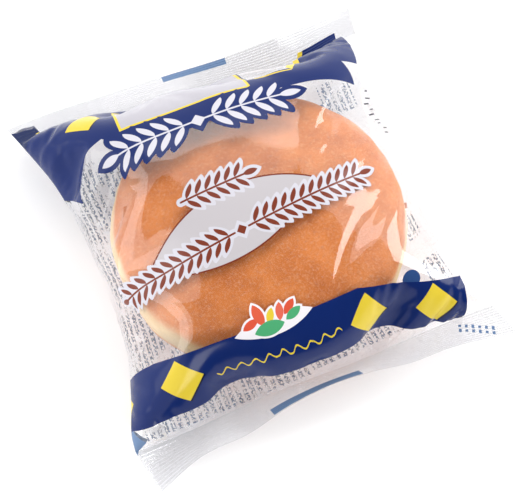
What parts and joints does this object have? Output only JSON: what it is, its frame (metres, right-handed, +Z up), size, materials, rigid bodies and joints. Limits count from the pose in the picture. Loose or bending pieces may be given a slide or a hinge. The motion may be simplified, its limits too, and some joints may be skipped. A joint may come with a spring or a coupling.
{
  "type": "filled beignet in a sealed flow-wrap pack",
  "caption": "Round filled fried bun sealed in a clear printed film pack with a crimped fin at each end, lying flat.",
  "frame": {"origin": "under the middle of the pack, on the surface it lies on", "axes": "+X across the pack along its fins, +Y from the near fin to the far fin, +Z up out of the printed side"},
  "size_m": [0.128, 0.137, 0.0425],
  "materials": {
    "film": "clear gloss film",
    "print": "gloss ink on film",
    "crust": "fried crust with a pale band, slightly oily"
  },
  "bodies": {
    "root": {"filled_pack": "film"}
  },
  "joints": []
}
